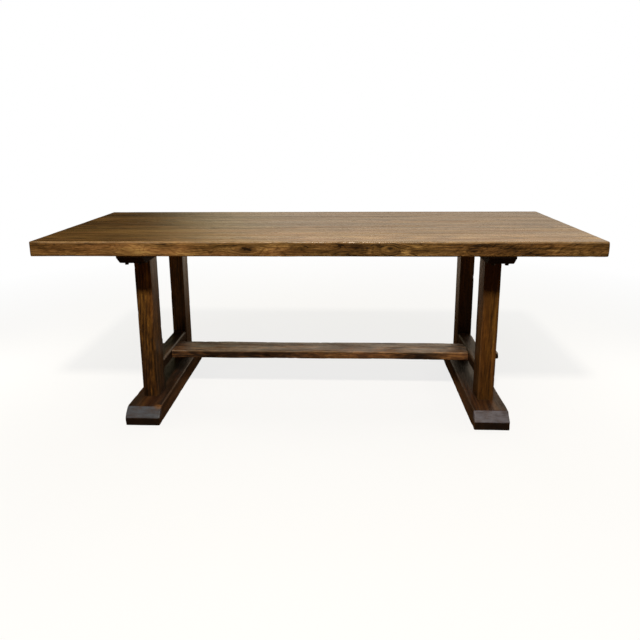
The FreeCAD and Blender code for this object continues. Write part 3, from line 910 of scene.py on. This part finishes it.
def make_wedges():
    """The tusk wedges, flat against the rail on one side and tapering downwards on the other."""
    shape, wood = SEEDS["wedge"]
    for i, side in enumerate(SIDES):
        node = side + "_tusk_wedge"
        low, high = corners(node)
        inner = low[0] if i else high[0]
        width = high[0] - low[0]

        def taper(points):
            """Widths drawn in towards the rail, the more the lower they lie."""
            share = 1 - WEDGE_TAPER * (high[2] - points[..., 2]) / width
            points[..., 0] = inner + (points[..., 0] - inner) * share
            return points

        piece = timber(node + "_oak", ALONG_Z, low, high, (WEDGE_ARRIS,) * 4, WEDGE_ARRIS, shape + i,
                       bend=taper, waviness=0.0002)
        heart = (WEDGE_HEART[0] * (2 * i - 1), WEDGE_HEART[1], 0)
        material = stained_oak("oak_wedge_" + side, ALONG_Z, heart, wood + i, BASE_STAIN)
        dress(piece, material, "base_wood", node)


# Colours and heart of the wood without stain, its seed, and the steel and how rough it is
BARE_WOOD = ("#6b4c2c", "#8c693f", "#a5834f")
BARE_HEART = (0, 0, 0.7)
BARE_SEED = 5
STEEL_COLOURS = ("#262423", "#4a4745")
STEEL_MOTTLE = 600.0
STEEL_RISE = (0.3, 0.7)
STEEL_ROUGHNESS = (0.40, 0.58)


def bare_oak():
    """Planed oak without stain, inside the joints of the top: pale, dry and matt."""
    return stained_oak("bare_oak_tongue", ALONG_X, BARE_HEART, BARE_SEED, BARE_WOOD, roughness=0.6)


def dull_steel():
    """Zinc-plated steel gone dull: soft grey highlights with a faint mottle.

    The mottle is 1.7 mm across, drawn coarser than the real one of half a millimetre."""
    material, tree = new_material("dull_zinc_steel")
    place = add(tree, "TexCoord", out="Object")
    mottle = add(tree, "TexNoise", {"Vector": place, "Scale": STEEL_MOTTLE, "Detail": 3.0})
    ramp = [(share, linear(shade)) for share, shade in zip(STEEL_RISE, STEEL_COLOURS)]
    colour = add(tree, "ValToRGB", [mottle], ramp=ramp)
    dulled = add(tree, "MapRange", [mottle, *STEEL_RISE, *STEEL_ROUGHNESS])
    shader = add(tree, "BsdfPrincipled", {"Base Color": colour, "Roughness": dulled, "Metallic": 1.0})
    add(tree, "OutputMaterial", {"Surface": shader})
    return material


def refinish_hidden():
    """Finishes for the CAD nodes that keep their own shape: the tongues and the screws."""
    tongue = bare_oak()
    for place in ("front", "middle", "rear"):
        refinish("top_tongue_" + place, tongue)
    steel = dull_steel()
    for side in SIDES:
        refinish(side + "_top_screws", steel)


# Camera, from a perspective fit of the table's corners
CAMERA_PLACE = (0.11123, -2.76373, 1.15743)
CAMERA_YAW = -0.04690
CAMERA_PITCH = -0.23742
CAMERA_ROLL = -0.00752
IMAGE_SIDE = 640
FOCAL_PIXELS = 627.925
AXIS_PIXEL = (314.527, 284.450)
SENSOR = 36.0


def set_camera():
    """The camera at the photograph's place, with its roll and the shift of its crop."""
    forward = Vector((
        math.sin(CAMERA_YAW) * math.cos(CAMERA_PITCH),
        math.cos(CAMERA_YAW) * math.cos(CAMERA_PITCH),
        math.sin(CAMERA_PITCH),
    ))
    level = Vector((math.cos(CAMERA_YAW), -math.sin(CAMERA_YAW), 0))
    upright = level.cross(forward)
    right = level * math.cos(CAMERA_ROLL) + upright * math.sin(CAMERA_ROLL)
    up = upright * math.cos(CAMERA_ROLL) - level * math.sin(CAMERA_ROLL)
    data = bpy.data.cameras.new("camera")
    data.sensor_width = SENSOR
    data.lens = SENSOR * FOCAL_PIXELS / IMAGE_SIDE
    data.shift_x = 0.5 - AXIS_PIXEL[0] / IMAGE_SIDE
    data.shift_y = AXIS_PIXEL[1] / IMAGE_SIDE - 0.5
    camera = bpy.data.objects.new("camera", data)
    turn = Matrix((right, up, -forward)).transposed()
    camera.matrix_world = Matrix.Translation(CAMERA_PLACE) @ turn.to_4x4()
    bpy.context.scene.collection.objects.link(camera)
    bpy.context.scene.camera = camera


# Light: a lamp high in front, weak broad ones at the ends and behind, and a warm card low behind on the right
KEY_PLACE = (0.0, -3.4, 4.2)
KEY_SIDE = 0.45
KEY_POWER = 270.0
KEY_TARGET = (0, -0.3, 0.5)
KEY_COLOUR = "#fff3e2"
LAMP_TARGET = (0, 0, 0.4)
LAMP_COLOUR = "#fff8ee"
END_PLACES = {"left": (-2.0, 0.1, 0.65), "right": (2.0, 0.1, 0.65)}
END_SIDE = 0.5
END_POWER = 6.0
REAR_PLACE = (-0.4, 3.4, 1.6)
REAR_SIDE = 1.6
REAR_POWER = 26.0
CARD_COLOUR = "#fde9cf"
CARD_FLANK_COLOUR = "#f2e3a4"
CARD_STRENGTH = 0.90
CARD_SIDE = math.radians(24.5)
CARD_RISE = math.radians(8)
CARD_INNER = math.cos(math.radians(33.5))
CARD_OUTER = math.cos(math.radians(42.5))
CARD_FOOT, CARD_HEAD = -0.06, 0.30
CARD_HEAD_STRENGTH = 1.52
CARD_FLANK = (-0.32, -0.08)
SKY_COLOUR = "#f0de90"
SKY_LOW = 0.015
SKY_HIGH = 0.36
SKY_RISE = (0.35, 0.95)

# Floor: its colour as seen and as it throws light back, its share of white near the table, and where it turns
# white and shows the card in the wax
FLOOR_REACH = 30.0
FLOOR_COLOUR = "#e3e6e9"
FLOOR_BOUNCE = "#69503a"
FLOOR_NEAR_WHITE = 0.78
FLOOR_FADE = (1.2, 3.5)
FLOOR_CARD = (1.2, 4.4)


def soft_lamp(name, place, target, side, power, colour):
    """A square lamp that faces a point, out of sight. Only the key shines in the wax."""
    data = bpy.data.lights.new(name, "AREA")
    data.size = side
    data.energy = power
    data.color = linear(colour)[:3]
    lamp = bpy.data.objects.new(name, data)
    lamp.location = place
    lamp.rotation_euler = (Vector(target) - Vector(place)).to_track_quat("-Z", "Y").to_euler()
    lamp.visible_camera = False
    lamp.visible_glossy = name == "key"
    bpy.context.scene.collection.objects.link(lamp)


def card_share(tree, direction):
    """How much of the card lies in a direction: 1 near the card's middle, falling off smoothly round it."""
    middle = (math.sin(CARD_SIDE) * math.cos(CARD_RISE), math.cos(CARD_SIDE) * math.cos(CARD_RISE),
              math.sin(CARD_RISE))
    toward = add(tree, "VectorMath", [direction, middle], "Value", operation="DOT_PRODUCT")
    return add(tree, "MapRange", [toward, CARD_OUTER, CARD_INNER], interpolation_type="SMOOTHSTEP")


def seen_directly(tree):
    """1 for the rays of the camera and those that pass through glass."""
    camera = add(tree, "LightPath", out="Is Camera Ray")
    passing = add(tree, "LightPath", out="Is Transmission Ray")
    return add(tree, "Math", [camera, passing], operation="MAXIMUM")


def set_world():
    """A dim sky, brighter overhead, with the warm card in it, brighter higher up and yellower on its left.

    Wax and steel mirror it. The camera sees white, which would turn the wax grey."""
    world = bpy.data.worlds.new("studio")
    world.use_nodes = True
    tree = world.node_tree
    tree.nodes.clear()
    direction = add(tree, "TexCoord", out="Generated")
    share = card_share(tree, direction)
    rise = add(tree, "SeparateXYZ", [direction], "Z")
    strength = add(tree, "MapRange", [rise, *SKY_RISE, SKY_LOW, SKY_HIGH])
    sky = add(tree, "Background", [linear(SKY_COLOUR), strength])
    glow = add(tree, "MapRange", [rise, CARD_FOOT, CARD_HEAD, 0.0, CARD_HEAD_STRENGTH])
    sideways = add(tree, "SeparateXYZ", [direction], "X")
    inward = add(tree, "MapRange", [sideways, *CARD_FLANK])
    tint = add(tree, "Mix", {0: inward, 6: linear(CARD_FLANK_COLOUR), 7: linear(CARD_COLOUR)}, 2,
               data_type="RGBA")
    card = add(tree, "Background", [tint, glow])
    room = add(tree, "MixShader", [share, sky, card])
    white = add(tree, "Background", [WHITE, 1.0])
    both = add(tree, "MixShader", [seen_directly(tree), room, white])
    add(tree, "OutputWorld", {"Surface": both})
    bpy.context.scene.world = world


def set_floor():
    """A wide pale floor that keeps the table's soft shadow and fades to white far from it.

    It throws less light back than it shows, as in a furnished room. Far out, the wax sees the card in it."""
    mesh = bpy.data.meshes.new("floor")
    ground = [(x * FLOOR_REACH, y * FLOOR_REACH, 0) for x, y in ((-1, -1), (1, -1), (1, 1), (-1, 1))]
    mesh.from_pydata(ground, [], [(0, 1, 2, 3)])
    floor = bpy.data.objects.new("floor", mesh)
    bpy.context.scene.collection.objects.link(floor)
    material, tree = new_material("pale_floor")
    place = add(tree, "TexCoord", out="Object")
    away = add(tree, "VectorMath", [place], "Value", operation="LENGTH")
    direct = seen_directly(tree)
    shown = add(tree, "Mix", {0: direct, 6: linear(FLOOR_BOUNCE), 7: linear(FLOOR_COLOUR)}, 2,
                data_type="RGBA")
    plain = add(tree, "BsdfDiffuse", [shown])
    fade = add(tree, "MapRange", [away, *FLOOR_FADE, FLOOR_NEAR_WHITE, 1.0])
    white_part = add(tree, "Math", [fade, direct], operation="MULTIPLY")
    share = card_share(tree, add(tree, "VectorMath", [place], operation="NORMALIZE"))
    far = add(tree, "MapRange", [away, *FLOOR_CARD])
    glossy = add(tree, "LightPath", out="Is Glossy Ray")
    card_part = add(tree, "Math", [far, glossy], operation="MULTIPLY")
    card_part = add(tree, "Math", [card_part, share], operation="MULTIPLY")
    card = add(tree, "Emission", [linear(CARD_COLOUR), CARD_STRENGTH])
    white = add(tree, "Emission", [WHITE, 1.0])
    both = add(tree, "MixShader", [white_part, plain, white])
    both = add(tree, "MixShader", [card_part, both, card])
    add(tree, "OutputMaterial", {"Surface": both})
    mesh.materials.append(material)


make_top()
make_bearers()
make_posts()
make_rails()
make_feet()
make_stretcher()
make_wedges()
refinish_hidden()
set_camera()
soft_lamp("key", KEY_PLACE, KEY_TARGET, KEY_SIDE, KEY_POWER, KEY_COLOUR)
for side, spot in END_PLACES.items():
    soft_lamp(side, spot, LAMP_TARGET, END_SIDE, END_POWER, LAMP_COLOUR)
soft_lamp("rear", REAR_PLACE, LAMP_TARGET, REAR_SIDE, REAR_POWER, LAMP_COLOUR)
set_world()
set_floor()
bpy.context.scene.view_settings.view_transform = "Standard"
